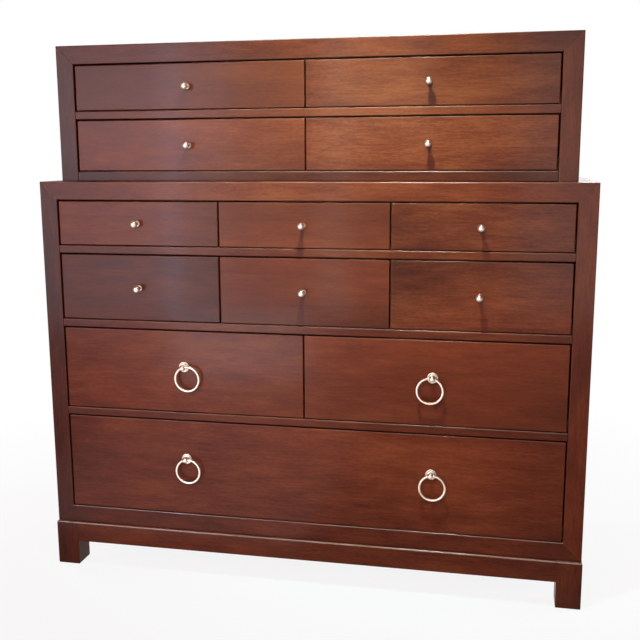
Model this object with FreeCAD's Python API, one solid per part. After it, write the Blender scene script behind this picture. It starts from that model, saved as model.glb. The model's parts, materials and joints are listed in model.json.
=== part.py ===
import FreeCAD, Part
import math
import os

# A two-tier dresser of thirteen inset drawers, in millimetres.
# The front faces -Y, +X is to the right of someone facing it, +Z is up.
# The origin is on the floor, under the middle of the whole object's box.

# Lower case and how the upper case stands on it
lower_width = 1220.0
lower_depth = 508.0
upper_inset = 40.0      # upper case in from the lower one, each side
upper_setback = 32.0    # upper front behind the lower front

# Base
base_height = 108.0
base_rail_height = 49.0
base_rail_thickness = 22.0
leg_width = 54.0
base_reveal_front = 5.5  # base proud of the case
base_reveal_side = 2.0
base_edge_radius = 4.0   # eased top edge of the base
leg_bottom_chamfer = 2.0

# Face frames
frame_width = 41.0
frame_thickness = 20.0
drawer_rail_height = 18.0
upper_bottom_rail = 22.0

# Opening heights, top row first
row1_height = 102.0
row2_height = 115.0
row3_height = 102.0
row4_height = 152.0
row5_height = 192.0
row6_height = 227.0

# Case boards
panel_thickness = 19.0
back_thickness = 6.0
partition_thickness = 16.0
inner_setback = 2.0      # partitions and guides start behind the drawer fronts
guide_height = 28.0

# Drawers
front_thickness = 20.0
front_recess = 1.0       # fronts behind the face of the frame
gap_side = 2.5           # round each front, and between neighbours
gap_top = 2.5
gap_bottom = 1.5
run_clearance = 0.5      # under the drawer sides
guide_clearance = 1.5    # between a drawer box and its guides
rear_clearance = 12.0
box_side_thickness = 12.0
box_drop = 12.0          # top of the sides below the top of the front
box_tongue = 8.0         # sides let into the back of the front
bottom_thickness = 6.0
bottom_groove = 6.0
bottom_rise = 10.0       # bottom above the lower edge of the sides
stop_height = 7.0
stop_length = 25.0
stop_width = 40.0
stop_inset = 30.0        # stop blocks in from the inside of the drawer sides
stop_clearance = 0.3

# Ball knobs
knob_ball_radius = 8.0
knob_ball_standoff = 18.0
knob_neck_radius = 4.0
knob_foot_radius = 6.5
knob_foot_height = 2.5

# Ring pulls
rosette_radius = 12.0
rosette_height = 3.5
post_ball_radius = 7.0
post_standoff = 13.0     # ball centre in front of the drawer front
post_stem_radius = 4.0
ring_mean_radius = 27.75
ring_wire_radius = 2.75
ring_play = 0.55         # least space round the wire in the post's hole
row5_pull_rise = 12.0    # posts above the middle of the front
row6_pull_rise = 22.0
left_pull_shift = 6.0    # left posts towards +X from the middle of their drawers

# How far each post is turned on its screw, in degrees, which swings its ring towards +X
row5_left_turn = 22.0
row5_right_turn = -10.0
row6_left_turn = 13.0
row6_right_turn = 8.0

# Screws of the knobs and posts
screw_radius = 2.0
screw_clearance = 0.25
screw_engagement = 6.0
screw_head_radius = 4.0
screw_head_height = 2.5

# Joints cut into the case boards
case_dado = panel_thickness / 3
case_rabbet = panel_thickness / 2

# Heights
base_top = base_height
row6_floor = base_top + frame_width
row5_floor = row6_floor + row6_height + drawer_rail_height
row4_floor = row5_floor + row5_height + drawer_rail_height
row3_floor = row4_floor + row4_height + drawer_rail_height
lower_top = row3_floor + row3_height + frame_width
row2_floor = lower_top + upper_bottom_rail
row1_floor = row2_floor + row2_height + drawer_rail_height
upper_top = row1_floor + row1_height + frame_width

# Depths
knob_reach = knob_ball_standoff + knob_ball_radius
post_reach = post_standoff + post_ball_radius
front_reach = max(knob_reach - front_recess, post_reach - front_recess, base_reveal_front)
lower_front = front_reach - (lower_depth + front_reach) / 2
case_back = lower_front + lower_depth
upper_front = lower_front + upper_setback
inner_back = case_back - back_thickness

# Half widths
lower_half = lower_width / 2
upper_half = lower_half - upper_inset
base_half = lower_half + base_reveal_side

# A front overhangs its box by as much as half a partition needs
front_lip = partition_thickness / 2 + guide_clearance - gap_side / 2


def board(x0, x1, y0, y1, z0, z1):
    return Part.makeBox(x1 - x0, y1 - y0, z1 - z0, FreeCAD.Vector(x0, y0, z0))


def plate(outline, y0, y1):
    # A closed outline in X and Z, carried from y0 to y1.
    corners = [FreeCAD.Vector(x, y0, z) for x, z in outline]
    face = Part.Face(Part.makePolygon(corners + corners[:1]))
    return face.extrude(FreeCAD.Vector(0, y1 - y0, 0))


def turned(edges):
    # A half outline in X and Y, turned round the Y axis.
    face = Part.Face(Part.Wire(edges))
    return face.revolve(FreeCAD.Vector(0, 0, 0), FreeCAD.Vector(0, 1, 0), 360)


def line(a, b):
    return Part.LineSegment(FreeCAD.Vector(*a, 0), FreeCAD.Vector(*b, 0)).toShape()


def arc(a, middle, b):
    ends = [FreeCAD.Vector(*point, 0) for point in (a, middle, b)]
    return Part.Arc(*ends).toShape()


def write(name, solids):
    Part.makeCompound(solids).exportStep(os.path.join("parts", name + ".step"))


# Face frames

def mitred_member(half, bottom, top, side, mitred_foot):
    # A stile on side -1 or +1, cut at 45 degrees where it meets a rail of its own width.
    foot = bottom + frame_width if mitred_foot else bottom
    outer = side * half
    inner = side * (half - frame_width)
    return [(outer, bottom), (outer, top), (inner, top - frame_width), (inner, foot)]


def mitred_rail(half, outer_z, inner_z):
    inner = half - frame_width
    return [(-half, outer_z), (half, outer_z), (inner, inner_z), (-inner, inner_z)]


def drawer_rail(half, front, floor_above):
    inner = half - frame_width
    return board(-inner, inner, front, front + frame_thickness, floor_above - drawer_rail_height, floor_above)


def lower_face_frame():
    back = lower_front + frame_thickness
    outlines = [mitred_member(lower_half, base_top, lower_top, side, True) for side in (-1, 1)]
    outlines.append(mitred_rail(lower_half, lower_top, lower_top - frame_width))
    outlines.append(mitred_rail(lower_half, base_top, base_top + frame_width))
    members = [plate(outline, lower_front, back) for outline in outlines]
    rails = [drawer_rail(lower_half, lower_front, floor) for floor in (row3_floor, row4_floor, row5_floor)]
    return members + rails


def upper_face_frame():
    back = upper_front + frame_thickness
    inner = upper_half - frame_width
    outlines = [mitred_member(upper_half, lower_top, upper_top, side, False) for side in (-1, 1)]
    outlines.append(mitred_rail(upper_half, upper_top, upper_top - frame_width))
    members = [plate(outline, upper_front, back) for outline in outlines]
    bottom_rail = board(-inner, inner, upper_front, back, lower_top, row2_floor)
    return members + [bottom_rail, drawer_rail(upper_half, upper_front, row1_floor)]


# Cases: sides and top meet in a mitre, the bottom and the dust panels sit in dados,
# and the back sits in a rabbet of the sides and top and behind the bottom.

def case_boards(half, bottom, top, front, floor, floor_thickness, dust_floors):
    start = front + frame_thickness
    inner = half - panel_thickness
    under_top = top - panel_thickness
    dado = inner + case_dado
    rabbet = inner + case_rabbet
    case_floor = board(-dado, dado, start, inner_back, floor - floor_thickness, floor)
    dust_panels = [board(-dado, dado, start, inner_back, level - drawer_rail_height, level)
                   for level in dust_floors]
    back = board(-rabbet, rabbet, inner_back, case_back, bottom, under_top + case_rabbet)
    sides = []
    for side in (-1, 1):
        outline = [(side * half, bottom), (side * half, top), (side * inner, under_top), (side * inner, bottom)]
        sides.append(plate(outline, start, case_back).cut([case_floor, back] + dust_panels))
    top_outline = [(-half, top), (half, top), (inner, under_top), (-inner, under_top)]
    top_board = plate(top_outline, start, case_back).cut(back)
    return sides, top_board, case_floor, back, dust_panels


# Base: four legs at the corners, rails between them flush with their outer faces

def base_pieces():
    front = lower_front - base_reveal_front
    rail_bottom = base_top - base_rail_height
    leg_inner = base_half - leg_width
    legs = []
    for side in (-1, 1):
        for outer_y, inner_y in ((front, front + leg_width), (case_back, case_back - leg_width)):
            outer_x = side * base_half
            inner_x = side * leg_inner
            leg = board(min(outer_x, inner_x), max(outer_x, inner_x), min(outer_y, inner_y),
                        max(outer_y, inner_y), 0, base_top)
            eased = [edge for edge in leg.Edges if on_outer_top(edge, outer_x, outer_y)]
            leg = leg.makeFillet(base_edge_radius, eased)
            feet = [edge for edge in leg.Edges if edge.BoundBox.ZMax < leg_bottom_chamfer]
            legs.append(leg.makeChamfer(leg_bottom_chamfer, feet))
    rails = []
    for outer_y, inner_y in ((front, front + base_rail_thickness), (case_back, case_back - base_rail_thickness)):
        rail = board(-leg_inner, leg_inner, min(outer_y, inner_y), max(outer_y, inner_y), rail_bottom, base_top)
        rails.append(eased_rail(rail, base_half, outer_y))
    for side in (-1, 1):
        outer_x = side * base_half
        inner_x = side * (base_half - base_rail_thickness)
        rail = board(min(outer_x, inner_x), max(outer_x, inner_x), front + leg_width, case_back - leg_width,
                     rail_bottom, base_top)
        rails.append(eased_rail(rail, outer_x, front))
    return legs, rails


def on_outer_top(edge, outer_x, outer_y):
    # True for a level edge at the top of the base that lies in one of its outer faces.
    box = edge.BoundBox
    near = 1e-6
    level = abs(box.ZMin - base_top) < near and abs(box.ZMax - base_top) < near
    on_side = abs(box.XMin - outer_x) < near and abs(box.XMax - outer_x) < near
    on_front_or_back = abs(box.YMin - outer_y) < near and abs(box.YMax - outer_y) < near
    return level and (on_side or on_front_or_back)


def eased_rail(rail, outer_x, outer_y):
    return rail.makeFillet(base_edge_radius, [edge for edge in rail.Edges if on_outer_top(edge, outer_x, outer_y)])


# Rows of drawers: floor and height of the opening, top of the space behind it, and the drawers in it

def row(name, half, front, floor, height, space_top, columns, pull_rise=None):
    return {"name": name, "half": half, "front": front, "floor": floor, "height": height,
            "space_top": space_top, "columns": columns, "pull_rise": pull_rise}


pair = ("left", "right")
three = ("left", "centre", "right")
upper_space = upper_top - panel_thickness
lower_space = lower_top - panel_thickness
rows = [
    row("row1", upper_half, upper_front, row1_floor, row1_height, upper_space, pair),
    row("row2", upper_half, upper_front, row2_floor, row2_height, row2_floor + row2_height, pair),
    row("row3", lower_half, lower_front, row3_floor, row3_height, lower_space, three),
    row("row4", lower_half, lower_front, row4_floor, row4_height, row4_floor + row4_height, three),
    row("row5", lower_half, lower_front, row5_floor, row5_height, row5_floor + row5_height, pair, row5_pull_rise),
    row("row6", lower_half, lower_front, row6_floor, row6_height, row6_floor + row6_height, ("wide",), row6_pull_rise),
]


def row_partitions(a_row):
    opening = 2 * (a_row["half"] - frame_width)
    count = len(a_row["columns"])
    start = a_row["front"] + front_recess + front_thickness + inner_setback
    lines = [-opening / 2 + opening * step / count for step in range(1, count)]
    return [board(x - partition_thickness / 2, x + partition_thickness / 2, start, inner_back,
                  a_row["floor"], a_row["space_top"]) for x in lines]


def row_guides(a_row):
    start = a_row["front"] + front_recess + front_thickness + inner_setback
    outer = a_row["half"] - panel_thickness
    inner = a_row["half"] - frame_width - gap_side - front_lip + guide_clearance
    top = a_row["floor"] + guide_height
    return [board(-outer, -inner, start, inner_back, a_row["floor"], top),
            board(inner, outer, start, inner_back, a_row["floor"], top)]


# Drawers

def drawer_places(a_row):
    # Each drawer's name and the sizes that its pieces share.
    opening = 2 * (a_row["half"] - frame_width)
    count = len(a_row["columns"])
    places = []
    for index, column in enumerate(a_row["columns"]):
        left_gap = gap_side if index == 0 else gap_side / 2
        right_gap = gap_side if index == count - 1 else gap_side / 2
        x0 = -opening / 2 + opening * index / count + left_gap
        x1 = -opening / 2 + opening * (index + 1) / count - right_gap
        face = a_row["front"] + front_recess
        z0 = a_row["floor"] + gap_bottom
        z1 = a_row["floor"] + a_row["height"] - gap_top
        places.append({
            "name": a_row["name"] + "_" + column if count > 1 else a_row["name"],
            "x0": x0, "x1": x1, "z0": z0, "z1": z1, "face": face,
            "inside": face + front_thickness,
            "rear": inner_back - rear_clearance,
            "box_x0": x0 + front_lip, "box_x1": x1 - front_lip,
            "box_z0": a_row["floor"] + run_clearance, "box_z1": z1 - box_drop,
            "floor": a_row["floor"], "pull_rise": a_row["pull_rise"],
        })
    return places


def drawer_stops(place):
    y0 = place["inside"] + stop_clearance
    left = place["box_x0"] + box_side_thickness + stop_inset
    right = place["box_x1"] - box_side_thickness - stop_inset
    top = place["floor"] + stop_height
    return [board(left, left + stop_width, y0, y0 + stop_length, place["floor"], top),
            board(right - stop_width, right, y0, y0 + stop_length, place["floor"], top)]


def hardware_points(place):
    # Where the screws go through a front: the middle, or the ring posts' places.
    middle_x = (place["x0"] + place["x1"]) / 2
    middle_z = (place["z0"] + place["z1"]) / 2
    if place["pull_rise"] is None:
        return [(middle_x, middle_z)]
    if place["name"] == "row6":
        # The wide drawer's posts stand under those of the pair above.
        row5_points = [hardware_points(above)[0] for above in drawer_places(rows[4])]
        return [(x, middle_z + place["pull_rise"]) for x, z in row5_points]
    if place["name"] == "row5_left":
        middle_x += left_pull_shift
    return [(middle_x, middle_z + place["pull_rise"])]


def drawer_pieces(place):
    sides = []
    for x0 in (place["box_x0"], place["box_x1"] - box_side_thickness):
        sides.append(board(x0, x0 + box_side_thickness, place["inside"] - box_tongue, place["rear"],
                           place["box_z0"], place["box_z1"]))
    inner_x0 = place["box_x0"] + box_side_thickness
    inner_x1 = place["box_x1"] - box_side_thickness
    bottom_z0 = place["box_z0"] + bottom_rise
    bottom_z1 = bottom_z0 + bottom_thickness
    bottom = board(inner_x0 - bottom_groove, inner_x1 + bottom_groove, place["inside"] - bottom_groove,
                   place["rear"], bottom_z0, bottom_z1)
    back = board(inner_x0, inner_x1, place["rear"] - box_side_thickness, place["rear"], bottom_z1, place["box_z1"])
    holes = [Part.makeCylinder(screw_radius + screw_clearance, front_thickness,
                               FreeCAD.Vector(x, place["face"], z), FreeCAD.Vector(0, 1, 0))
             for x, z in hardware_points(place)]
    front = board(place["x0"], place["x1"], place["face"], place["inside"], place["z0"], place["z1"])
    front = front.cut(sides + [bottom] + holes)
    return front, [side.cut(bottom) for side in sides] + [back, bottom]


# Hardware, made round the Y axis with the drawer front's face at Y = 0

def placed(shape, x, face, z, turn=0.0):
    moved = shape.copy()
    moved.rotate(FreeCAD.Vector(0, 0, 0), FreeCAD.Vector(0, 1, 0), -turn)
    moved.translate(FreeCAD.Vector(x, face, z))
    return moved


def screw_socket():
    radius = screw_radius + screw_clearance
    return Part.makeCylinder(radius, screw_engagement + screw_clearance, FreeCAD.Vector(0, 0, 0),
                             FreeCAD.Vector(0, -1, 0))


def screw():
    shank = Part.makeCylinder(screw_radius, front_thickness + screw_engagement,
                              FreeCAD.Vector(0, front_thickness, 0), FreeCAD.Vector(0, -1, 0))
    head = Part.makeCylinder(screw_head_radius, screw_head_height, FreeCAD.Vector(0, front_thickness, 0),
                             FreeCAD.Vector(0, 1, 0))
    return shank.fuse(head).removeSplitter()


def ball_knob():
    # Foot, hollow flare up to the neck, then the ball.
    flare = knob_foot_radius - knob_neck_radius
    flare_top = knob_foot_height + flare
    diagonal = flare * math.sqrt(0.5)
    ball_start = knob_ball_standoff - math.sqrt(knob_ball_radius ** 2 - knob_neck_radius ** 2)
    ball_end = knob_ball_standoff + knob_ball_radius
    edges = [
        line((0, 0), (knob_foot_radius, 0)),
        line((knob_foot_radius, 0), (knob_foot_radius, -knob_foot_height)),
        arc((knob_foot_radius, -knob_foot_height), (knob_foot_radius - diagonal, -flare_top + diagonal),
            (knob_neck_radius, -flare_top)),
        line((knob_neck_radius, -flare_top), (knob_neck_radius, -ball_start)),
        arc((knob_neck_radius, -ball_start), (knob_ball_radius, -knob_ball_standoff), (0, -ball_end)),
        line((0, -ball_end), (0, 0)),
    ]
    return turned(edges).cut(screw_socket())


# The wire bends away from the straight hole by the ring's rise over the ball's width,
# so the ring hangs half of that high and the hole is that much wider.
wire_rise = ring_mean_radius - math.sqrt(ring_mean_radius ** 2 - post_ball_radius ** 2)
post_hole_radius = ring_wire_radius + wire_rise / 2 + ring_play
ring_drop = ring_mean_radius - wire_rise / 2


def ring_post():
    # Rosette with a rounded edge, stem and ball; the hole for the ring runs along X.
    edge_radius = rosette_height / 2
    ball_start = post_standoff - math.sqrt(post_ball_radius ** 2 - post_stem_radius ** 2)
    shoulder = rosette_radius - edge_radius
    edges = [
        line((0, 0), (shoulder, 0)),
        arc((shoulder, 0), (rosette_radius, -edge_radius), (shoulder, -rosette_height)),
        line((shoulder, -rosette_height), (post_stem_radius, -rosette_height)),
        line((post_stem_radius, -rosette_height), (post_stem_radius, -ball_start)),
        arc((post_stem_radius, -ball_start), (post_ball_radius, -post_standoff), (0, -post_reach)),
        line((0, -post_reach), (0, 0)),
    ]
    hole = Part.makeCylinder(post_hole_radius, 2 * post_ball_radius,
                             FreeCAD.Vector(-post_ball_radius, -post_standoff, 0), FreeCAD.Vector(1, 0, 0))
    return turned(edges).cut([hole, screw_socket()])


def pull_ring():
    centre = FreeCAD.Vector(0, -post_standoff, -ring_drop)
    return Part.makeTorus(ring_mean_radius, ring_wire_radius, centre, FreeCAD.Vector(0, 1, 0))


pull_turns = {"row5_left": [row5_left_turn], "row5_right": [row5_right_turn],
              "row6": [row6_left_turn, row6_right_turn]}


def main():
    os.makedirs("parts", exist_ok=True)

    legs, base_rails = base_pieces()
    write("base_legs", legs)
    write("base_rails", base_rails)

    lower = case_boards(lower_half, base_top, lower_top, lower_front, row6_floor, panel_thickness,
                        (row3_floor, row4_floor, row5_floor))
    upper = case_boards(upper_half, lower_top, upper_top, upper_front, row2_floor, upper_bottom_rail,
                        (row1_floor,))
    for tier, (sides, top_board, case_floor, back, dust_panels) in (("lower", lower), ("upper", upper)):
        write(tier + "_left_side", sides[:1])
        write(tier + "_right_side", sides[1:])
        write(tier + "_top", [top_board])
        write(tier + "_bottom", [case_floor])
    write("back_panels", [lower[3], upper[3]])
    write("dust_panels", lower[4] + upper[4])
    write("lower_face_frame", lower_face_frame())
    write("upper_face_frame", upper_face_frame())

    places = [place for a_row in rows for place in drawer_places(a_row)]
    write("drawer_partitions", [piece for a_row in rows for piece in row_partitions(a_row)])
    write("drawer_guides", [piece for a_row in rows for piece in row_guides(a_row)])
    write("drawer_stops", [piece for place in places for piece in drawer_stops(place)])

    knob, post, ring, fixing = ball_knob(), ring_post(), pull_ring(), screw()
    for place in places:
        front, box = drawer_pieces(place)
        write("front_" + place["name"], [front])
        write("box_" + place["name"], box)
        points = hardware_points(place)
        screws = [placed(fixing, x, place["face"], z) for x, z in points]
        if place["pull_rise"] is None:
            knobs = [placed(knob, x, place["face"], z) for x, z in points]
            write("knob_" + place["name"], knobs + screws)
            continue
        turns = pull_turns[place["name"]]
        posts = [placed(post, x, place["face"], z, turn) for (x, z), turn in zip(points, turns)]
        rings = [placed(ring, x, place["face"], z, turn) for (x, z), turn in zip(points, turns)]
        write("post_" + place["name"], posts + screws)
        names = [place["name"]] if len(rings) == 1 else [place["name"] + "_" + column for column in pair]
        for name, one_ring in zip(names, rings):
            write("ring_" + name, [one_ring])


main()
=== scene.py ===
import bpy
import json
import math
import numpy as np
from mathutils import Matrix, Vector

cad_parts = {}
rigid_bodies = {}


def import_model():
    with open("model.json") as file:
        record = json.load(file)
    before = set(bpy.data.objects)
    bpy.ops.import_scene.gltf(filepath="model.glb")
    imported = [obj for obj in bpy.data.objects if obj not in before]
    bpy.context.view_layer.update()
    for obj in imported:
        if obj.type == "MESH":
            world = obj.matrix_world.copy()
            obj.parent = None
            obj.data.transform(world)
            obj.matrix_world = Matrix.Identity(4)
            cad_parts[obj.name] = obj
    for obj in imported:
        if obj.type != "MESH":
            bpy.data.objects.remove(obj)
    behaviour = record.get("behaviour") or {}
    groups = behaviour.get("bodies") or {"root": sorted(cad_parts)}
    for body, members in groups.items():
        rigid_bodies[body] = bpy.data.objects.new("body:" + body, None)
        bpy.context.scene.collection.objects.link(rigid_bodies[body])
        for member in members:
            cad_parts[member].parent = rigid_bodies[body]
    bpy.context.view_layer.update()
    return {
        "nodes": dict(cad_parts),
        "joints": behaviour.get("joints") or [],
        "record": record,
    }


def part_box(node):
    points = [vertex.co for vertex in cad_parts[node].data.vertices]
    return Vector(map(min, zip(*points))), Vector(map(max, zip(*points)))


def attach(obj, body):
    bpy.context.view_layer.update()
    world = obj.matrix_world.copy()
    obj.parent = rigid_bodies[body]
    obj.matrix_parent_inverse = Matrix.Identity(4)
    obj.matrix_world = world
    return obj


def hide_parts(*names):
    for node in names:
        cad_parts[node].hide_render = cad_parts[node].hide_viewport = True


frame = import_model()
bodyOfNode = {node: body for body, nodes in frame["record"]["behaviour"]["bodies"].items() for node in nodes}
scene = bpy.context.scene


# Shader maths

class Wire:
    # One socket of a node tree. Sums, differences and products of wires add Math nodes.
    def __init__(self, tree, socket=None):
        self.tree = tree
        self.socket = socket

    def node(self, kind, settings, inputs, out=0):
        # Any node: its type, its settings, the values or wires of its sockets, and which output to hand on.
        made = self.tree.nodes.new(kind)
        for name, value in settings.items():
            if name == "stops":
                ramp = made.color_ramp
                while len(ramp.elements) < len(value):
                    ramp.elements.new(0.5)
                for element, (place, colour) in zip(ramp.elements, value):
                    element.position = place
                    element.color = opaque(colour)
            else:
                setattr(made, name, value)
        for name, value in inputs.items():
            if isinstance(value, Wire):
                self.tree.links.new(value.socket, made.inputs[name])
            else:
                made.inputs[name].default_value = value
        return Wire(self.tree, made.outputs[out]) if made.outputs else None

    def maths(self, operation, first, second=0.0, clamp=False):
        settings = {"operation": operation, "use_clamp": clamp}
        return self.node("ShaderNodeMath", settings, {0: first, 1: second})

    def __add__(self, other):
        return self.maths("ADD", self, other)

    def __radd__(self, other):
        return self.maths("ADD", other, self)

    def __sub__(self, other):
        return self.maths("SUBTRACT", self, other)

    def __rsub__(self, other):
        return self.maths("SUBTRACT", other, self)

    def __mul__(self, other):
        return self.maths("MULTIPLY", self, other)

    def __rmul__(self, other):
        return self.maths("MULTIPLY", other, self)

    def clamped(self):
        return self.maths("ADD", self, 0.0, clamp=True)

    def swing(self, share):
        # A noise about 0.5 made to swing about 0, times share.
        return (self - 0.5) * share

    def between(self, low, high):
        # 0 below low, 1 above high, a smooth step from one to the other.
        return self.node("ShaderNodeMapRange", {"interpolation_type": "SMOOTHSTEP"},
                         {"Value": self, "From Min": low, "From Max": high})

    def noise(self, place, stretch, detail, rough=0.55, shift=(0.0, 0.0, 0.0)):
        # Cloud of noise about 0.5, stretched along each axis of place, in repeats per metre.
        moved = self.node("ShaderNodeMapping", {}, {"Vector": place, "Location": shift, "Scale": stretch})
        return self.node("ShaderNodeTexNoise", {},
                         {"Vector": moved, "Scale": 1.0, "Detail": detail, "Roughness": rough})

    def mixed(self, share, first, second):
        # Sockets 6 and 7 and output 2 of a Mix node are its colours.
        return self.node("ShaderNodeMix", {"data_type": "RGBA"}, {0: share, 6: first, 7: second}, 2)

    def ramped(self, look):
        # From the dark to the mid and the light colour of a wood.
        stops = list(zip(look["stops"], (look["dark"], look["mid"], look["light"])))
        return self.node("ShaderNodeValToRGB", {"stops": stops}, {"Fac": self})

    def boardValue(self, name):
        # A number that a board's mesh holds at each point.
        return self.node("ShaderNodeAttribute", {"attribute_name": name}, {}, "Fac")

    def boardGrain(self):
        # Metres along, across and into the board.
        return self.node("ShaderNodeAttribute", {"attribute_name": "grain"}, {}, "Vector")

    def objectPlace(self):
        return self.node("ShaderNodeTexCoord", {}, {}, "Object")

    def bump(self, look, height):
        return self.node("ShaderNodeBump", {}, {"Strength": look["bumpStrength"],
                                                "Distance": look["bumpDistance"], "Height": height})


def opaque(colour):
    return (*colour, 1.0)


def newMaterial(name):
    material = bpy.data.materials.new(name)
    material.use_nodes = True
    material.node_tree.nodes.clear()
    return material, Wire(material.node_tree)


def finishMaterial(maker, surface):
    maker.node("ShaderNodeOutputMaterial", {}, {"Surface": surface})


# Stained wood: colours, lacquer, depth of each part of the figure, shades and painted shades, wear and
# painted highlight, roughness and relief
staveWidth = 0.064
stainedWood = {
    "dark": (0.074, 0.0112, 0.0039), "mid": (0.146, 0.0262, 0.0076), "light": (0.226, 0.0515, 0.0147),
    "pore": (0.034, 0.0050, 0.0022), "wornAndHighlightColour": (0.570, 0.365, 0.275), "stops": (0.2, 0.5, 0.8),
    "roughness": 0.31, "gloss": 0.07,
    "coat": 0.022, "polishedCoat": 0.60, "coatRoughness": 0.12, "coatIor": 1.9,
    "staveTone": 0.12, "staveShift": 6.0, "sway": 0.010,
    "broadDepth": 0.60, "patchDepth": 0.60, "lineDepth": 0.46, "fleckDepth": 0.34, "fibreDepth": 0.28,
    "poreRange": (0.60, 0.74), "poreShade": 0.35, "toneAndPaintedLightStrength": 0.5, "gapPaintedShadeStrength": 0.76,
    "endPaintedShade": 0.24, "endPaintedShadeRange": (0.38, 0.60),
    "wearAndHighlight": 0.26, "chipWearAndHighlight": 0.14, "chipRange": (0.40, 0.66),
    "patchRough": 0.14, "poreRough": 0.10, "wearAndHighlightSmooth": 0.10,
    "fibreRelief": 0.5, "lineRelief": 0.35, "poreRelief": 0.8, "bumpStrength": 0.08, "bumpDistance": 0.0006,
}
stainedNoise = {
    "sway": {"stretch": (2.4, 3.5, 3.5), "detail": 1.0, "shift": (6.0, 2.0, 8.0)},
    "broad": {"stretch": (2.0, 8.0, 8.0), "detail": 2.0},
    "patches": {"stretch": (9.0, 36.0, 36.0), "detail": 3.0, "shift": (3.0, 7.0, 1.0)},
    "lines": {"stretch": (21.0, 210.0, 210.0), "detail": 3.0, "rough": 0.62, "shift": (1.0, 2.0, 5.0)},
    "fibres": {"stretch": (70.0, 950.0, 950.0), "detail": 2.0, "rough": 0.6, "shift": (8.0, 1.0, 3.0)},
    "pores": {"stretch": (80.0, 1500.0, 1500.0), "detail": 1.0, "rough": 0.5, "shift": (2.0, 9.0, 4.0)},
    "flecks": {"stretch": (115.0, 380.0, 380.0), "detail": 2.0, "rough": 0.6, "shift": (5.0, 6.0, 2.0)},
    "chips": {"stretch": (9.0, 60.0, 60.0), "detail": 3.0, "rough": 0.6, "shift": (4.0, 4.0, 4.0)},
}


def stainedGrain(maker, look, straight):
    # The board's grain, moved along by a step of its own in each stave and swayed a little across.
    counted = maker.node("ShaderNodeVectorMath", {"operation": "MULTIPLY"},
                         {0: straight, 1: (0.0, 1.0 / staveWidth, 0.0)})
    counted = maker.node("ShaderNodeVectorMath", {"operation": "FLOOR"}, {0: counted})
    stave = maker.node("ShaderNodeTexWhiteNoise", {"noise_dimensions": "3D"}, {"Vector": counted}) - 0.5
    sway = maker.noise(straight, **stainedNoise["sway"]).swing(look["sway"])
    moved = maker.node("ShaderNodeCombineXYZ", {}, {"X": stave * look["staveShift"], "Y": sway})
    return maker.node("ShaderNodeVectorMath", {"operation": "ADD"}, {0: straight, 1: moved}), stave


def stainedWoodMaterial(name, look):
    # Dark red-brown stain under a satin lacquer. Its depth is 0.5 + stave + broad tone + figure * streaks.
    # It has painted shade towards both ends of the dresser, where the light falls off, and in the drawer
    # gaps.
    # Arrises that face up get a lighter colour, partly wear and partly a painted highlight, and are
    # polished.
    material, maker = newMaterial(name)
    straight = maker.boardGrain()
    grain, stave = stainedGrain(maker, look, straight)
    arris = maker.boardValue("arris")
    rub = maker.boardValue("rub")
    broad = maker.noise(straight, **stainedNoise["broad"])
    patches = maker.noise(grain, **stainedNoise["patches"])
    lines = maker.noise(grain, **stainedNoise["lines"])
    fibres = maker.noise(grain, **stainedNoise["fibres"])
    pores = maker.noise(grain, **stainedNoise["pores"]).between(*look["poreRange"])
    flecks = maker.noise(grain, **stainedNoise["flecks"])
    chips = maker.noise(grain, **stainedNoise["chips"]).between(*look["chipRange"])
    streaks = (patches.swing(look["patchDepth"]) + lines.swing(look["lineDepth"])
               + flecks.swing(look["fleckDepth"]) + fibres.swing(look["fibreDepth"]))
    depth = (0.5 + stave * look["staveTone"] + broad.swing(look["broadDepth"])
             + streaks * maker.boardValue("figure"))
    stain = depth.clamped().ramped(look)
    stain = maker.mixed(pores * look["poreShade"], stain, opaque(look["pore"]))
    # Painted shade: darker towards both ends of the dresser, where the light falls off
    sideways = maker.node("ShaderNodeSeparateXYZ", {}, {"Vector": maker.objectPlace()}, "X")
    ends = maker.maths("ABSOLUTE", sideways).between(*look["endPaintedShadeRange"])
    # Painted shade: the gap value darkens the faces in the drawer gaps
    shade = ((1.0 + maker.boardValue("tone") * look["toneAndPaintedLightStrength"]) * (1.0 - ends * look["endPaintedShade"])
             * (1.0 - maker.boardValue("gap") * look["gapPaintedShadeStrength"]))
    stain = maker.node("ShaderNodeVectorMath", {"operation": "SCALE"}, {0: stain, "Scale": shade})
    # Painted highlight and wear: a lighter colour on the arrises that face up
    wearAndHighlight = (arris * rub * (look["wearAndHighlight"] + chips * look["chipWearAndHighlight"])).clamped()
    stain = maker.mixed(wearAndHighlight, stain, opaque(look["wornAndHighlightColour"]))
    roughness = (look["roughness"] + patches.swing(look["patchRough"]) + pores * look["poreRough"]
                 - wearAndHighlight * look["wearAndHighlightSmooth"])
    height = fibres * look["fibreRelief"] + lines * look["lineRelief"] - pores * look["poreRelief"]
    polish = look["coat"] + arris * maker.maths("MINIMUM", rub, 1.0) * look["polishedCoat"]
    surface = maker.node("ShaderNodeBsdfPrincipled", {}, {
        "Base Color": stain, "Roughness": roughness, "Specular IOR Level": look["gloss"],
        "Coat Weight": polish, "Coat Roughness": look["coatRoughness"], "Coat IOR": look["coatIor"],
        "Normal": maker.bump(look, height)})
    finishMaterial(maker, surface)
    return material


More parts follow.
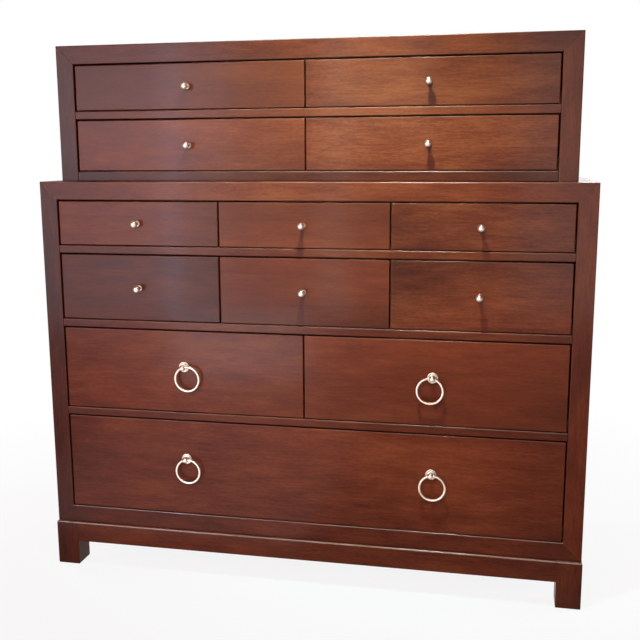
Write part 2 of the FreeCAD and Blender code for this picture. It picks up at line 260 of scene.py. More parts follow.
# Pale wood of the drawer boxes, and raw wood of the backs and inner boards
plainWood = {
    "stops": (0.15, 0.5, 0.85), "patchDepth": 0.7, "ringDepth": 1.1, "fibreDepth": 0.45,
    "fleckRange": (0.62, 0.78), "fleckShade": 0.4, "ringRough": 0.2,
    "ringRelief": 0.4, "fibreRelief": 0.6, "bumpStrength": 0.15, "bumpDistance": 0.0006,
}
paleWood = {**plainWood, "dark": (0.420, 0.205, 0.115), "mid": (0.600, 0.335, 0.200),
            "light": (0.720, 0.450, 0.295), "pore": (0.300, 0.170, 0.085), "roughness": 0.48}
rawWood = {**plainWood, "dark": (0.190, 0.105, 0.052), "mid": (0.300, 0.180, 0.095),
           "light": (0.400, 0.260, 0.150), "pore": (0.150, 0.080, 0.042), "roughness": 0.62}
plainNoise = {
    "patches": {"stretch": (1.8, 9.0, 9.0), "detail": 3.0},
    "rings": {"stretch": (1.6, 95.0, 95.0), "detail": 3.0, "rough": 0.6, "shift": (2.0, 1.0, 6.0)},
    "fibres": {"stretch": (18.0, 700.0, 700.0), "detail": 2.0, "rough": 0.6, "shift": (7.0, 3.0, 2.0)},
    "flecks": {"stretch": (60.0, 900.0, 900.0), "detail": 1.0, "rough": 0.5, "shift": (1.0, 8.0, 4.0)},
}


def plainWoodMaterial(name, look, useGrain):
    # Straight growth lines, on the board's own grain or on Object coordinates along Y.
    material, maker = newMaterial(name)
    if useGrain:
        grain = maker.boardGrain()
    else:
        grain = maker.node("ShaderNodeMapping", {},
                           {"Vector": maker.objectPlace(), "Rotation": (0.0, 0.0, math.pi / 2)})
    patches = maker.noise(grain, **plainNoise["patches"])
    rings = maker.noise(grain, **plainNoise["rings"])
    fibres = maker.noise(grain, **plainNoise["fibres"])
    flecks = maker.noise(grain, **plainNoise["flecks"]).between(*look["fleckRange"])
    depth = (0.5 + patches.swing(look["patchDepth"]) + rings.swing(look["ringDepth"])
             + fibres.swing(look["fibreDepth"]))
    colour = depth.clamped().ramped(look)
    colour = maker.mixed(flecks * look["fleckShade"], colour, opaque(look["pore"]))
    height = rings * look["ringRelief"] + fibres * look["fibreRelief"]
    surface = maker.node("ShaderNodeBsdfPrincipled", {}, {
        "Base Color": colour, "Roughness": look["roughness"] + rings.swing(look["ringRough"]),
        "Normal": maker.bump(look, height)})
    finishMaterial(maker, surface)
    return material


# Satin nickel of the knobs and, a little darker and smoother, of the ring pulls
satinNickel = {
    "dullNoise": {"stretch": (140.0, 140.0, 140.0), "detail": 3.0}, "dullRange": (0.48, 0.72),
    "dullShare": 0.45, "dullRough": 0.08,
    "scratchNoise": {"stretch": (1800.0, 260.0, 1800.0), "detail": 2.0}, "scratchRough": 0.10,
    "bumpStrength": 0.03, "bumpDistance": 0.0001,
}
knobNickel = {**satinNickel, "bright": (0.690, 0.530, 0.430), "dull": (0.590, 0.440, 0.350),
              "roughness": 0.42}
ringNickel = {**satinNickel, "bright": (0.660, 0.482, 0.386), "dull": (0.565, 0.403, 0.318),
              "roughness": 0.36}


def satinNickelMaterial(name, look):
    # Warm plated metal, brushed to a satin, with a little dulling.
    material, maker = newMaterial(name)
    place = maker.objectPlace()
    dull = maker.noise(place, **look["dullNoise"]).between(*look["dullRange"])
    scratch = maker.noise(place, **look["scratchNoise"])
    colour = maker.mixed(dull * look["dullShare"], opaque(look["bright"]), opaque(look["dull"]))
    roughness = look["roughness"] + dull * look["dullRough"] + scratch.swing(look["scratchRough"])
    surface = maker.node("ShaderNodeBsdfPrincipled", {}, {
        "Base Color": colour, "Metallic": 1.0, "Roughness": roughness, "Normal": maker.bump(look, scratch)})
    finishMaterial(maker, surface)
    return material


boardLook = {**stainedWood, "roughness": 0.46, "gloss": 0.035, "coat": 0.0}
frontLook = {**stainedWood, "mid": (0.154, 0.0282, 0.0082), "light": (0.240, 0.0560, 0.0158),
             "polishedCoat": 0.43, "staveTone": 0.04}
caseFinish = stainedWoodMaterial("stainedCase", stainedWood)
boardFinish = stainedWoodMaterial("stainedBoards", boardLook)
frontFinish = stainedWoodMaterial("stainedFronts", frontLook)
boxFinish = plainWoodMaterial("paleDrawerWood", paleWood, True)
backFinish = plainWoodMaterial("rawBackWood", rawWood, True)
innerFinish = plainWoodMaterial("rawInnerWood", rawWood, False)
knobFinish = satinNickelMaterial("satinNickelKnobs", knobNickel)
ringFinish = satinNickelMaterial("satinNickelRings", ringNickel)
print("materials made:", len(bpy.data.materials))


# Boards

dice = np.random.default_rng(48)
boardMaking = {"cornerSteps": 4, "endSteps": 3, "leastRound": 0.3, "grainSpread": 8.0, "toneSpread": 0.12,
               "upwardWearAndHighlight": 1.5}
boardValues = ("arris", "tone", "figure", "rub", "gap")
metalCrease = math.radians(38)


def boardGrid(half, ease, endEase):
    # A rounded rectangle carried along the board: corner sign * (half size - inset - radius) + radius *
    # corner normal, with the inset growing as 1 - cos and the place along as 1 - sin over the last endEase
    # at both ends. The arris is 1 in the middle of a rounding and 0 on the flats.
    quarter = np.linspace(0, math.pi / 2, boardMaking["cornerSteps"] + 1)
    corner = np.repeat(np.arange(4), len(quarter))
    angle = corner * math.pi / 2 + np.tile(quarter, 4)
    outward = np.stack([np.cos(angle), np.sin(angle)], 1)
    sign = np.stack([np.where((corner == 0) | (corner == 3), 1, -1), np.where(corner < 2, 1, -1)], 1)
    turn = np.linspace(math.pi / 2, 0, boardMaking["endSteps"] + 1)
    inset = endEase * (1 - np.cos(turn))
    along = -half[2] + endEase * (1 - np.sin(turn))
    tilt = np.concatenate([-turn, turn[::-1]])
    inset = np.concatenate([inset, inset[::-1]])
    along = np.concatenate([along, -along[::-1]])
    radius = np.maximum(ease - inset, boardMaking["leastRound"] * ease)
    flat = sign[None] * (half[None, None, :2] - inset[:, None, None] - radius[:, None, None])
    flat = flat + radius[:, None, None] * outward[None]
    size = (len(along), len(angle), 1)
    spots = np.concatenate([flat, np.broadcast_to(along[:, None, None], size)], 2).reshape(-1, 3)
    normals = np.concatenate([np.cos(tilt)[:, None, None] * outward[None],
                              np.broadcast_to(np.sin(tilt)[:, None, None], size)], 2).reshape(-1, 3)
    arris = np.maximum(np.sin(2 * np.tile(quarter, 4))[None], np.sin(2 * np.abs(tilt))[:, None]).reshape(-1)
    index = np.arange(len(spots)).reshape(size[:2])
    after = np.roll(index, -1, 1)
    quads = np.stack([index[:-1], after[:-1], after[1:], index[1:]], 2).reshape(-1, 4)
    faces = quads.tolist() + [index[0, ::-1].tolist(), index[-1].tolist()]
    return spots, normals, faces, arris


def mitredEnds(spots, normals, lengthAxis, middle, halfLength, acrossAxis, outerPlace, lowEnd, highEnd):
    # Places along the board shrink by (distance from the outer edge) / (half length), which slants its ends
    # to 45 degrees. lowEnd and highEnd say which ends.
    share = (spots[:, lengthAxis] - middle[lengthAxis]) / halfLength
    slanted = np.where(share > 0, highEnd, lowEnd)
    inward = np.sign(middle[acrossAxis] - outerPlace)
    distance = np.abs(spots[:, acrossAxis] - outerPlace) * slanted
    spots = spots.copy()
    spots[:, lengthAxis] -= share * distance
    normals = normals.copy()
    stretch = normals[:, lengthAxis] / (1 - distance / halfLength)
    normals[:, acrossAxis] += inward * share * slanted * stretch
    normals[:, lengthAxis] = stretch
    return spots, normals / np.linalg.norm(normals, axis=1, keepdims=True)


def easedBoard(low, high, grainAxis, ease, endEase=None, mitre=None, tone=0.0, lean=(0.0, 0.0), figure=1.0,
               rub=1.0, gapSides=None):
    # One board with its values at each point. The tone, which also carries painted light and shade, leans
    # from end to end and from edge to edge. The painted gap shade is the depth given for a side where the
    # board faces that way, and 0 past 60 degrees from it.
    low = np.array(low, float)
    high = np.array(high, float)
    middle = (low + high) / 2
    axes = [(grainAxis + 1) % 3, (grainAxis + 2) % 3, grainAxis]
    half = (high - low)[axes] / 2
    local, localNormals, faces, arris = boardGrid(half, ease, ease if endEase is None else endEase)
    spots = np.empty_like(local)
    spots[:, axes] = local
    spots += middle
    normals = np.empty_like(localNormals)
    normals[:, axes] = localNormals
    if mitre:
        spots, normals = mitredEnds(spots, normals, grainAxis, middle, half[2], *mitre)
    wide, thin = axes[:2] if half[0] > half[1] else axes[1::-1]
    start = dice.uniform(-boardMaking["grainSpread"], boardMaking["grainSpread"], 3)
    if 2 * max(half[:2]) < staveWidth:
        start[1] = (math.floor(start[1] / staveWidth) + 0.5) * staveWidth  # a narrow board is all one stave
    ownToneAndLight = tone + dice.uniform(-boardMaking["toneSpread"], boardMaking["toneSpread"])
    share = (spots - middle) / ((high - low) / 2)
    gap = np.zeros(len(spots))
    for side, depth in (gapSides or {}).items():
        gap = np.maximum(gap, depth * np.clip(2 * (normals @ np.array(side)) - 1, 0, 1))
    # Only arrises that face up keep their arris value: their lighter colour is partly wear and partly a
    # painted highlight
    return {"spots": spots, "normals": normals, "faces": faces, "gap": gap,
            "grain": (spots - middle)[:, [grainAxis, wide, thin]] + start,
            "arris": arris * np.clip(boardMaking["upwardWearAndHighlight"] * normals[:, 2], 0, 1),
            "rub": np.full(len(spots), rub),
            "figure": np.full(len(spots), figure),
            "tone": ownToneAndLight + lean[0] * share[:, grainAxis] + lean[1] * share[:, wide]}


def makeMesh(name, skins):
    # Joins skins, each with its own spots, faces and board values, into one mesh.
    def joined(key):
        return np.concatenate([skin[key] for skin in skins])

    offsets = np.cumsum([0] + [len(skin["spots"]) for skin in skins])
    faces = [[corner + start for corner in face]
             for skin, start in zip(skins, offsets) for face in skin["faces"]]
    mesh = bpy.data.meshes.new(name)
    mesh.from_pydata(joined("spots").tolist(), [], faces)
    mesh.shade_smooth()
    if "normals" in skins[0]:
        mesh.normals_split_custom_set_from_vertices(joined("normals").tolist())
        grain = mesh.attributes.new("grain", "FLOAT_VECTOR", "POINT")
        grain.data.foreach_set("vector", joined("grain").astype(np.float32).ravel())
        for key in boardValues:
            layer = mesh.attributes.new(key, "FLOAT", "POINT")
            layer.data.foreach_set("value", joined(key).astype(np.float32))
    else:
        mesh.set_sharp_from_angle(angle=metalCrease)
    return mesh


def dress(name, skins, finish, node):
    # A piece that stands for a CAD node and moves with the node's body.
    piece = bpy.data.objects.new(name, makeMesh(name, skins))
    scene.collection.objects.link(piece)
    piece.data.materials.append(finish)
    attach(piece, bodyOfNode[node])
    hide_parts(node)


alongX, alongY, alongZ = range(3)
up = (0, 0, 1)
down = (0, 0, -1)
left = (-1, 0, 0)
right = (1, 0, 0)
# Painted shade on the faces in the drawer gaps, by the side that they face
gapPaintedShadeDepth = {up: 1.0, down: 1.0, left: 1.0, right: 0.4}  # how dark the faces in the drawer gaps are


# Face frames

# The bottom rail of the upper frame is darker, painted shade just above the ledge, and the top rail of the
# lower frame is lighter, painted light that falls on it from above
faceFrame = {"member": 0.041, "gapTop": 0.0025, "gapBottom": 0.0015, "ease": 0.0022, "mitreEase": 0.0005,
             "railTone": -0.10, "railRubAndHighlight": 0.55,
             "lower": {"left": -0.40, "right": 0.30, "topRail": 0.32, "topLean": 0.0, "bottomRail": -0.10},
             "upper": {"left": -0.40, "right": -0.30, "topRail": -0.35, "topLean": -0.3,
                       "bottomRail": -0.65}}


def paintedShadeAt(*sides):
    return {side: gapPaintedShadeDepth[side] for side in sides}


def railLevels(rowAbove, rowBelow):
    # A drawer rail fills the height between the gaps of the fronts above and below it.
    return (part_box("front_" + rowBelow)[1].z + faceFrame["gapTop"],
            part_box("front_" + rowAbove)[0].z - faceFrame["gapBottom"])


def frameMember(low, high, grainAxis, **look):
    return easedBoard(low, high, grainAxis, faceFrame["ease"], faceFrame["mitreEase"], **look)


def faceFrameSkins(tier, railRows, bottomRow, mitredFoot):
    # Two stiles, a mitred top rail, a bottom rail that is mitred or between the stiles, and drawer rails.
    low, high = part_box(tier + "_face_frame")
    tonesAndPaintedLight = faceFrame[tier]
    inner = high.x - faceFrame["member"]
    skins = [frameMember((low.x, low.y, low.z), (-inner, high.y, high.z), alongZ, tone=tonesAndPaintedLight["left"],
                         mitre=(alongX, low.x, mitredFoot, True), gapSides=paintedShadeAt(right)),
             frameMember((inner, low.y, low.z), (high.x, high.y, high.z), alongZ, tone=tonesAndPaintedLight["right"],
                         mitre=(alongX, high.x, mitredFoot, True), gapSides=paintedShadeAt(left)),
             frameMember((low.x, low.y, high.z - faceFrame["member"]), (high.x, high.y, high.z), alongX,
                         tone=tonesAndPaintedLight["topRail"], lean=(tonesAndPaintedLight["topLean"], 0.0),
                         mitre=(alongZ, high.z, True, True), gapSides=paintedShadeAt(down))]
    footX = high.x if mitredFoot else inner
    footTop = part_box("front_" + bottomRow)[0].z - faceFrame["gapBottom"]
    footMitre = (alongZ, low.z, True, True) if mitredFoot else None
    skins.append(frameMember((-footX, low.y, low.z), (footX, high.y, footTop), alongX,
                             tone=tonesAndPaintedLight["bottomRail"], mitre=footMitre))
    for rowAbove, rowBelow in railRows:
        railLow, railHigh = railLevels(rowAbove, rowBelow)
        skins.append(frameMember((-inner, low.y, railLow), (inner, high.y, railHigh), alongX,
                                 tone=faceFrame["railTone"], rub=faceFrame["railRubAndHighlight"],
                                 gapSides=paintedShadeAt(down)))
    return skins


lowerRails = [("row3_left", "row4_left"), ("row4_left", "row5_left"), ("row5_left", "row6")]
upperRails = [("row1_left", "row2_left")]
dress("lowerFrame", faceFrameSkins("lower", lowerRails, "row6", True), caseFinish, "lower_face_frame")
dress("upperFrame", faceFrameSkins("upper", upperRails, "row2_left", False), caseFinish, "upper_face_frame")


# Case sides, tops and backs

caseBoards = {"ease": 0.0014, "mitreEase": 0.0005, "backEase": 0.0005, "backProud": 0.0006, "tone": -0.2}


def dressCaseBoard(name, node, grainAxis, mitre):
    # A side or a top. The back panels stand a little proud of its rear edge.
    low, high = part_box(node)
    skin = easedBoard(low, (high.x, high.y - caseBoards["backProud"], high.z), grainAxis, caseBoards["ease"],
                      caseBoards["mitreEase"], mitre, caseBoards["tone"])
    dress(name, [skin], boardFinish, node)


for tier in ("lower", "upper"):
    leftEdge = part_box(tier + "_left_side")[0].x
    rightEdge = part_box(tier + "_right_side")[1].x
    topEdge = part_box(tier + "_top")[1].z
    dressCaseBoard(tier + "LeftSide", tier + "_left_side", alongZ, (alongX, leftEdge, False, True))
    dressCaseBoard(tier + "RightSide", tier + "_right_side", alongZ, (alongX, rightEdge, False, True))
    dressCaseBoard(tier + "Top", tier + "_top", alongX, (alongZ, topEdge, True, True))
backLow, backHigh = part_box("back_panels")
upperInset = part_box("lower_right_side")[1].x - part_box("upper_right_side")[1].x
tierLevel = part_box("lower_top")[1].z
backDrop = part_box("upper_top")[1].z - backHigh.z  # how far a back ends below the top of its case
dress("backPanels",
      [easedBoard(backLow, (backHigh.x, backHigh.y, tierLevel - backDrop), alongZ, caseBoards["backEase"]),
       easedBoard((backLow.x + upperInset, backLow.y, tierLevel),
                  (backHigh.x - upperInset, backHigh.y, backHigh.z), alongZ, caseBoards["backEase"])],
      backFinish, "back_panels")
print("cases dressed")


# Base

base = {"leg": 0.054, "legEase": 0.0006, "legEndEase": 0.0035, "legTone": -0.46,
        "rail": 0.022, "railEase": 0.0035, "railEndEase": 0.0004, "railTone": 0.0, "rub": 1.8}


def baseBoard(low, high, grainAxis, kind):
    return easedBoard(low, high, grainAxis, base[kind + "Ease"], base[kind + "EndEase"],
                      tone=base[kind + "Tone"], rub=base["rub"])


legLow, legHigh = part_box("base_legs")
railLow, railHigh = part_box("base_rails")
innerX = legHigh.x - base["leg"]
frontY = legLow.y + base["leg"]
backY = legHigh.y - base["leg"]
legSkins = [baseBoard((x0, y0, legLow.z), (x0 + base["leg"], y0 + base["leg"], legHigh.z), alongZ, "leg")
            for x0 in (legLow.x, innerX) for y0 in (legLow.y, backY)]
dress("baseLegs", legSkins, caseFinish, "base_legs")
railSkins = [baseBoard((-innerX, y0, railLow.z), (innerX, y0 + base["rail"], railHigh.z), alongX, "rail")
             for y0 in (legLow.y, legHigh.y - base["rail"])]
railSkins += [baseBoard((x0, frontY, railLow.z), (x0 + base["rail"], backY, railHigh.z), alongY, "rail")
              for x0 in (legLow.x, legHigh.x - base["rail"])]
dress("baseRails", railSkins, caseFinish, "base_rails")
print("base dressed")


# Drawers. Each front has its tone, the lean of that tone along and up, and the strength of its figure.
# The leans are partly painted light: the left drawers are lighter towards their left ends, a painted sheen
# where the window light falls.

drawer = {"frontEase": 0.0020, "frontRubAndHighlight": 0.35, "side": 0.012, "topRound": 0.0030, "sideEndEase": 0.0006,
          "bottomRise": 0.010, "bottom": 0.006, "bottomEase": 0.0005,
          "fronts": {"row1_left": (-0.4, (0.0, 0.0), 0.5), "row1_right": (-0.4, (0.0, 0.0), 1.0),
                     "row2_left": (0.4, (-0.6, 0.2), 0.8), "row2_right": (-0.1, (0.0, 0.0), 1.2),
                     "row3_left": (0.2, (-0.8, 0.0), 0.8), "row3_centre": (0.1, (-0.2, -0.2), 0.6),
                     "row3_right": (-0.3, (0.2, 0.0), 1.2), "row4_left": (-0.4, (-0.4, 0.0), 0.8),
                     "row4_centre": (0.1, (0.0, 0.4), 0.6), "row4_right": (-0.2, (0.4, -0.4), 1.2),
                     "row5_left": (0.4, (-0.4, -0.2), 0.9), "row5_right": (0.3, (0.0, 0.4), 0.6),
                     "row6": (0.0, (0.0, 0.2), 0.9)}}
drawerNames = sorted(node[len("front_"):] for node in frame["nodes"] if node.startswith("front_"))


def drawerBoxSkins(name):
    # Two sides with rounded tops, the back between them and the bottom under the back, behind the front.
    low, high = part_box("box_" + name)
    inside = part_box("front_" + name)[1].y
    thick = drawer["side"]
    bottomLow = low.z + drawer["bottomRise"]
    bottomHigh = bottomLow + drawer["bottom"]
    innerLeft = low.x + thick
    innerRight = high.x - thick
    sides = [easedBoard((x0, inside, low.z), (x0 + thick, high.y, high.z), alongY, drawer["topRound"],
                        drawer["sideEndEase"]) for x0 in (low.x, innerRight)]
    back = easedBoard((innerLeft, high.y - thick, bottomHigh), (innerRight, high.y, high.z), alongX,
                      drawer["topRound"], drawer["sideEndEase"])
    bottom = easedBoard((innerLeft, inside, bottomLow), (innerRight, high.y, bottomHigh), alongX,
                        drawer["bottomEase"])
    return sides + [back, bottom]


for name in drawerNames:
    frontLow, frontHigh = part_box("front_" + name)
    tone, lean, figure = drawer["fronts"][name]
    front = easedBoard(frontLow, frontHigh, alongX, drawer["frontEase"], tone=tone, lean=lean, figure=figure,
                       rub=drawer["frontRubAndHighlight"], gapSides=gapPaintedShadeDepth)
    dress("drawerFront_" + name, [front], frontFinish, "front_" + name)
    dress("drawerBox_" + name, drawerBoxSkins(name), boxFinish, "box_" + name)
print("drawers dressed:", len(drawerNames))


# Turned metal

def turnedSkin(profile, centre, axis, steps):
    # Radius and height of a profile carried round an axis that isn't upright. The profile starts and ends at
    # its poles.
    axis = np.array(axis, float) / np.linalg.norm(axis)
    first = np.cross(axis, up)
    first /= np.linalg.norm(first)
    second = np.cross(axis, first)
    profile = np.array(profile, float)
    angle = np.arange(steps) * 2 * math.pi / steps
    around = np.cos(angle)[:, None] * first + np.sin(angle)[:, None] * second
    body = profile[1:-1]
    spots = (np.array(centre) + body[:, None, 1:] * axis + body[:, None, :1] * around[None]).reshape(-1, 3)
    poles = np.array(centre) + profile[[0, -1], 1:] * axis
    rows = np.arange(len(body) * steps).reshape(len(body), steps)
    after = np.roll(rows, -1, 1)
    quads = np.stack([rows[:-1], after[:-1], after[1:], rows[1:]], 2).reshape(-1, 4).tolist()
    fans = np.stack([after[0], rows[0], np.full(steps, len(spots))], 1).tolist()
    fans += np.stack([rows[-1], after[-1], np.full(steps, len(spots) + 1)], 1).tolist()
    return {"spots": np.concatenate([spots, poles]), "faces": quads + fans}


def bandSkin(profile, centre, axis, steps):
    # A closed profile carried round an axis, as a drilled ball or a ring: a turned skin without its poles.
    skin = turnedSkin([profile[0], *profile, profile[0]], centre, axis, steps)
    rows = np.arange(len(profile) * steps).reshape(len(profile), steps)
    after = np.roll(rows, -1, 1)
    faces = np.stack([rows, after, np.roll(after, -1, 0), np.roll(rows, -1, 0)], 2).reshape(-1, 4).tolist()
    return {"spots": skin["spots"][:-2], "faces": faces}


def arcPoints(middleRadius, middleHeight, size, fromAngle, toAngle, count):
    # Points of a circle in the radius and height plane, angles in degrees.
    angle = np.radians(np.linspace(fromAngle, toAngle, count))
    return np.stack([middleRadius + size * np.cos(angle), middleHeight + size * np.sin(angle)], 1)


towardsRoom = (0.0, -1.0, 0.0)
screw = {"shank": 0.002, "head": 0.004, "headHeight": 0.0025, "crown": 0.0012, "engagement": 0.006,
         "crownSteps": 5, "steps": 24}


def screwSkin(x, face, inside, z):
    # Pan head inside the drawer and the shank through the front, from the head's crown to the tip.
    under = face - inside
    top = under - screw["headHeight"]
    crown = arcPoints(screw["head"] - screw["crown"], top + screw["crown"], screw["crown"], -90, 0,
                      screw["crownSteps"])
    profile = [(0.0, top), *crown, (screw["head"], under), (screw["shank"], under),
               (screw["shank"], screw["engagement"]), (0.0, screw["engagement"])]
    return turnedSkin(profile, (x, face, z), towardsRoom, screw["steps"])


knob = {"ball": 0.008, "standoff": 0.018, "neck": 0.004, "foot": 0.0065, "footHeight": 0.0025,
        "chamfer": 0.0003, "rim": 0.0008, "rimEnd": 80, "ballEnd": 88,
        "rimSteps": 5, "flareSteps": 8, "ballSteps": 24, "steps": 48}


def knobSkins(name):
    # Rounded foot, hollow flare up to the neck, and the ball.
    low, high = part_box("knob_" + name)
    frontLow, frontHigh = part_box("front_" + name)
    x = (low.x + high.x) / 2
    z = (low.z + high.z) / 2
    rim = knob["rim"]
    rimMiddle = knob["foot"] - rim
    flare = knob["foot"] - knob["neck"]
    neckAngle = -math.degrees(math.acos(knob["neck"] / knob["ball"]))
    profile = [(0.0, 0.0), (knob["foot"] - knob["chamfer"], 0.0), (knob["foot"], knob["chamfer"]),
               *arcPoints(rimMiddle, knob["footHeight"] - rim, rim, 0, knob["rimEnd"], knob["rimSteps"]),
               *arcPoints(rimMiddle, knob["footHeight"] + flare, flare - rim, -90, -180, knob["flareSteps"]),
               *arcPoints(0.0, knob["standoff"], knob["ball"], neckAngle, knob["ballEnd"],
                          knob["ballSteps"]),
               (0.0, knob["standoff"] + knob["ball"])]
    return [turnedSkin(profile, (x, frontLow.y, z), towardsRoom, knob["steps"]),
            screwSkin(x, frontLow.y, frontHigh.y, z)]


for name in drawerNames:
    if "knob_" + name in frame["nodes"]:
        dress("ballKnob_" + name, knobSkins(name), knobFinish, "knob_" + name)

# The dish is measured from the rosette's rim and top, the collar from the stem and the rosette's top
ringPull = {"rosette": 0.012, "rosetteHeight": 0.0035, "stem": 0.004, "stemSink": 0.0004,
            "dish": [(-0.0006, -0.0001), (-0.0016, -0.0008), (-0.0030, -0.0009)],
            "collar": [(0.0022, -0.0003), (0.0008, 0.0005), (0.0, 0.0014)],
            "ball": 0.007, "standoff": 0.013, "hole": 0.00375, "boreShare": 0.8,
            "ringRadius": 0.02775, "wire": 0.00275,
            "edgeSteps": 11, "ballSteps": 28, "wireSteps": 24, "steps": 64}


def postSkins(place, holeAxis, front):
    # Dished rosette and stem turned round the screw, and a ball turned round the hole that the ring runs in.
    frontLow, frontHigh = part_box(front)
    x = place[0]
    z = place[2]
    top = ringPull["rosetteHeight"]
    edge = top / 2
    rim = ringPull["rosette"] - edge
    stem = ringPull["stem"]
    stemTop = ringPull["standoff"] - math.sqrt(ringPull["ball"] ** 2 - stem ** 2) + ringPull["stemSink"]
    rosette = [(0.0, 0.0), *arcPoints(rim, edge, edge, -90, 90, ringPull["edgeSteps"]),
               *[(rim + inward, top + rise) for inward, rise in ringPull["dish"]],
               *[(stem + outward, top + rise) for outward, rise in ringPull["collar"]],
               (stem, stemTop), (0.0, stemTop)]
    hole = ringPull["hole"]
    mouth = math.degrees(math.asin(hole / ringPull["ball"]))
    ball = arcPoints(0.0, 0.0, ringPull["ball"], 90 - mouth, mouth - 90, ringPull["ballSteps"])
    bore = [(hole, ball[-1][1] * ringPull["boreShare"]), (hole, ball[0][1] * ringPull["boreShare"])]
    ball = np.concatenate([ball, bore])
    centre = (x, frontLow.y - ringPull["standoff"], z)
    return [turnedSkin(rosette, (x, frontLow.y, z), towardsRoom, ringPull["steps"]),
            bandSkin(ball[::-1], centre, holeAxis, ringPull["steps"]),
            screwSkin(x, frontLow.y, frontHigh.y, z)]


def ringSkin(node):
    # A round wire bent to a closed ring, hanging in front of the drawer.
    low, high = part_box(node)
    lastAngle = 360 - 360 / ringPull["wireSteps"]
    wire = arcPoints(ringPull["ringRadius"], 0.0, ringPull["wire"], 0, lastAngle, ringPull["wireSteps"])
    return bandSkin(wire, (low + high) / 2, towardsRoom, 2 * ringPull["steps"])


posts = {}
for joint in frame["joints"]:
    if joint["type"] != "hinge":
        continue
    name = joint["child"][len("pull_ring_"):]
    drawerName = joint["parent"][len("drawer_"):]
    posts.setdefault(drawerName, []).extend(postSkins(joint["pos_m"], joint["axis"], "front_" + drawerName))
    dress("pullRing_" + name, [ringSkin("ring_" + name)], ringFinish, "ring_" + name)
for drawerName, skins in posts.items():
    dress("ringPost_" + drawerName, skins, ringFinish, "post_" + drawerName)
print("metal dressed:", len(posts), "drawers with ring posts")

# Inner boards keep their CAD shape
innerNodes = ("lower_bottom", "upper_bottom", "dust_panels", "drawer_partitions", "drawer_guides",
              "drawer_stops")
for node in innerNodes:
    innerBoard = frame["nodes"][node]
    innerBoard.data.materials.clear()
    innerBoard.data.materials.append(innerFinish)
print("inner boards finished")


# Stage

white = (1.0, 1.0, 1.0)
stage = {"size": 14.0, "backdropY": 3.4, "backdropHeight": 7.0, "floorColour": (0.80, 0.80, 0.80),
         "floorLift": 0.88, "backdropLift": 1.0, "fade": (0.7, 1.8)}


def paleStageMaterial(name, lift):
    # Matt pale surface. Eyes, mirrors and glass see part of it as plain white, and all of it far away.
    material, maker = newMaterial(name)
    distance = maker.node("ShaderNodeVectorMath", {"operation": "LENGTH"}, {0: maker.objectPlace()}, "Value")
    away = distance.between(*stage["fade"])
    seen = maker.node("ShaderNodeLightPath", {}, {}, "Is Camera Ray")
    rays = seen.socket.node.outputs
    mirrored = Wire(maker.tree, rays["Is Glossy Ray"])
    through = Wire(maker.tree, rays["Is Transmission Ray"])
    shown = (seen + mirrored + through).clamped()
    matt = maker.node("ShaderNodeBsdfDiffuse", {}, {"Color": opaque(stage["floorColour"])})
    bright = maker.node("ShaderNodeEmission", {}, {"Color": opaque(white), "Strength": 1.0})
    share = shown * (lift + away * (1.0 - lift))
    finishMaterial(maker, maker.node("ShaderNodeMixShader", {}, {0: share, 1: matt, 2: bright}))
    return material


def stageSheet(name, corners, lift):
    mesh = bpy.data.meshes.new(name)
    mesh.from_pydata(corners, [], [(0, 1, 2, 3)])
    sheet = bpy.data.objects.new(name, mesh)
    scene.collection.objects.link(sheet)
    mesh.materials.append(paleStageMaterial(name + "Matt", lift))


side = stage["size"]
far = stage["backdropY"]
tall = stage["backdropHeight"]
stageSheet("floor", [(-side, -side, 0), (side, -side, 0), (side, far, 0), (-side, far, 0)],
           stage["floorLift"])
stageSheet("backdrop", [(-side, far, 0), (side, far, 0), (side, far, tall), (-side, far, tall)],
           stage["backdropLift"])


# Light: lamps that only light, panels that are only mirrored, and fills for the sides and the back

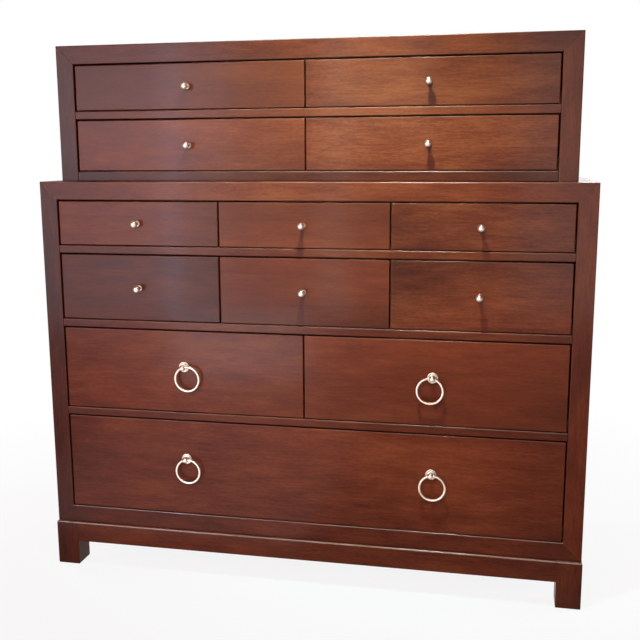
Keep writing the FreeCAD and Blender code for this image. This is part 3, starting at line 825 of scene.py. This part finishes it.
woodLamp = {"lights": True, "mirrored": False}
panel = {"spread": 180.0, "lights": False, "mirrored": True}
fill = {"spread": 120.0, "colour": (1.0, 0.98, 0.95), "lights": True, "mirrored": True}
lamps = {
    "overhead": {**woodLamp, "place": (0.13, -0.66, 1.98), "aim": (0.13, -0.21, 1.13), "size": (0.06, 0.06),
                 "power": 4.85, "spread": 56.0, "colour": (0.64, 1.0, 1.0)},
    "overheadGleam": {**panel, "place": (0.13, -0.88, 2.42), "aim": (0.13, -0.21, 1.0), "size": (0.30, 0.15),
                      "power": 6.0, "spread": 90.0, "colour": (1.0, 0.90, 0.80)},
    "softFront": {**woodLamp, "place": (-0.5, -3.4, 2.5), "aim": (0.0, -0.2, 0.5), "size": (2.4, 1.6),
                  "power": 58.0, "spread": 180.0, "colour": (1.0, 0.62, 0.58)},
    "window": {**panel, "place": (-1.71, -3.00, 1.29), "aim": (-0.1, -0.2, 0.95), "size": (1.3, 0.8),
               "power": 45.0, "colour": (0.97, 0.91, 1.0)},
    "windowSill": {**panel, "place": (-1.71, -3.00, 0.47), "aim": (-0.1, -0.2, 0.6), "size": (1.3, 0.8),
                   "power": 30.0, "colour": (0.78, 0.87, 1.0)},
    "windowEdge": {**panel, "place": (-1.34, -2.95, 1.02), "aim": (-0.3, -0.2, 0.95), "size": (0.05, 1.75),
                   "power": 13.5, "colour": (0.40, 0.66, 1.0)},
    "doorway": {**panel, "place": (0.91, -3.10, 1.04), "aim": (0.3, -0.2, 0.95), "size": (0.9, 1.8),
                "power": 33.0, "colour": (0.82, 0.96, 1.0)},
    "glow": {**panel, "place": (-0.50, -3.20, 0.95), "aim": (0.1, -0.2, 1.0), "size": (0.17, 1.7),
             "power": 10.0, "colour": (0.70, 0.97, 1.0)},
    "glowLeft": {**panel, "place": (-0.95, -3.2, 1.03), "aim": (-0.06, -0.2, 1.0), "size": (0.36, 1.1),
                 "power": 3.2, "colour": (0.30, 1.0, 0.75)},
    "glowHigh": {**panel, "place": (-0.27, -3.25, 1.43), "aim": (0.15, -0.2, 1.1), "size": (0.56, 0.7),
                 "power": 10.2, "colour": (0.60, 1.0, 0.87)},
    "floorGleam": {**panel, "place": (-0.71, -2.12, 0.15), "aim": (-0.2, -0.25, 0.5), "size": (0.6, 0.3),
                   "power": 8.5, "colour": (0.75, 0.87, 1.0)},
    "floorGleamNear": {**panel, "place": (-0.50, -0.85, 0.02), "aim": (-0.50, -0.85, 1.0),
                       "size": (0.9, 0.9), "power": 5.0, "colour": (0.75, 0.85, 1.0)},
    "leftFill": {**fill, "place": (-3.0, 0.9, 1.5), "aim": (-0.6, 0.1, 0.6), "size": (1.4, 1.4),
                 "power": 22.0},
    "rightFill": {**fill, "place": (3.0, 0.9, 1.5), "aim": (0.6, 0.1, 0.6), "size": (1.4, 1.4),
                  "power": 22.0},
    "backFill": {**fill, "place": (0.4, 3.2, 1.8), "aim": (0.0, 0.3, 0.6), "size": (1.6, 1.2),
                 "power": 24.0},
}
room = {"colour": (1.0, 0.97, 0.97), "strength": 0.16}


def hangLamp(name, look):
    light = bpy.data.lights.new(name, "AREA")
    light.shape = "RECTANGLE"
    light.size, light.size_y = look["size"]
    light.energy = look["power"]
    light.spread = math.radians(look["spread"])
    light.color = look["colour"]
    lamp = bpy.data.objects.new(name, light)
    scene.collection.objects.link(lamp)
    lamp.visible_camera = False
    lamp.visible_diffuse = look["lights"]
    lamp.visible_glossy = look["mirrored"]
    lamp.location = look["place"]
    lamp.rotation_euler = (Vector(look["aim"]) - Vector(look["place"])).to_track_quat("-Z", "Y").to_euler()


def paintRoom():
    # Grey to the object, white to the eye.
    scene.world = bpy.data.worlds.new("greyRoom")
    scene.world.use_nodes = True
    scene.world.node_tree.nodes.clear()
    maker = Wire(scene.world.node_tree)
    seen = maker.node("ShaderNodeLightPath", {}, {}, "Is Camera Ray")
    grey = maker.node("ShaderNodeBackground", {},
                      {"Color": opaque(room["colour"]), "Strength": room["strength"]})
    bright = maker.node("ShaderNodeBackground", {}, {"Color": opaque(white), "Strength": 1.0})
    surface = maker.node("ShaderNodeMixShader", {}, {0: seen, 1: grey, 2: bright})
    maker.node("ShaderNodeOutputWorld", {}, {"Surface": surface})


for name, look in lamps.items():
    hangLamp(name, look)
paintRoom()
scene.view_settings.view_transform = "Standard"


# Camera, from the photograph: metres from the middle of the lower case's front at floor level, and radians

camera = {"place": (0.4296, -1.8956, 0.9685), "yaw": -0.2040, "pitch": -0.1782, "roll": 0.0041,
          "lens": 50.8, "sensor": 36.0}
cameraData = bpy.data.cameras.new("camera")
cameraData.sensor_width = camera["sensor"]
cameraData.lens = camera["lens"]
viewer = bpy.data.objects.new("camera", cameraData)
scene.collection.objects.link(viewer)
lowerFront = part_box("lower_face_frame")[0].y
turnToView = (Matrix.Rotation(-camera["yaw"], 4, "Z")
              @ Matrix.Rotation(math.pi / 2 + camera["pitch"], 4, "X")
              @ Matrix.Rotation(-camera["roll"], 4, "Z"))
viewer.matrix_world = Matrix.Translation(Vector(camera["place"]) + Vector((0, lowerFront, 0))) @ turnToView
scene.camera = viewer
print("stage, lamps and camera placed")
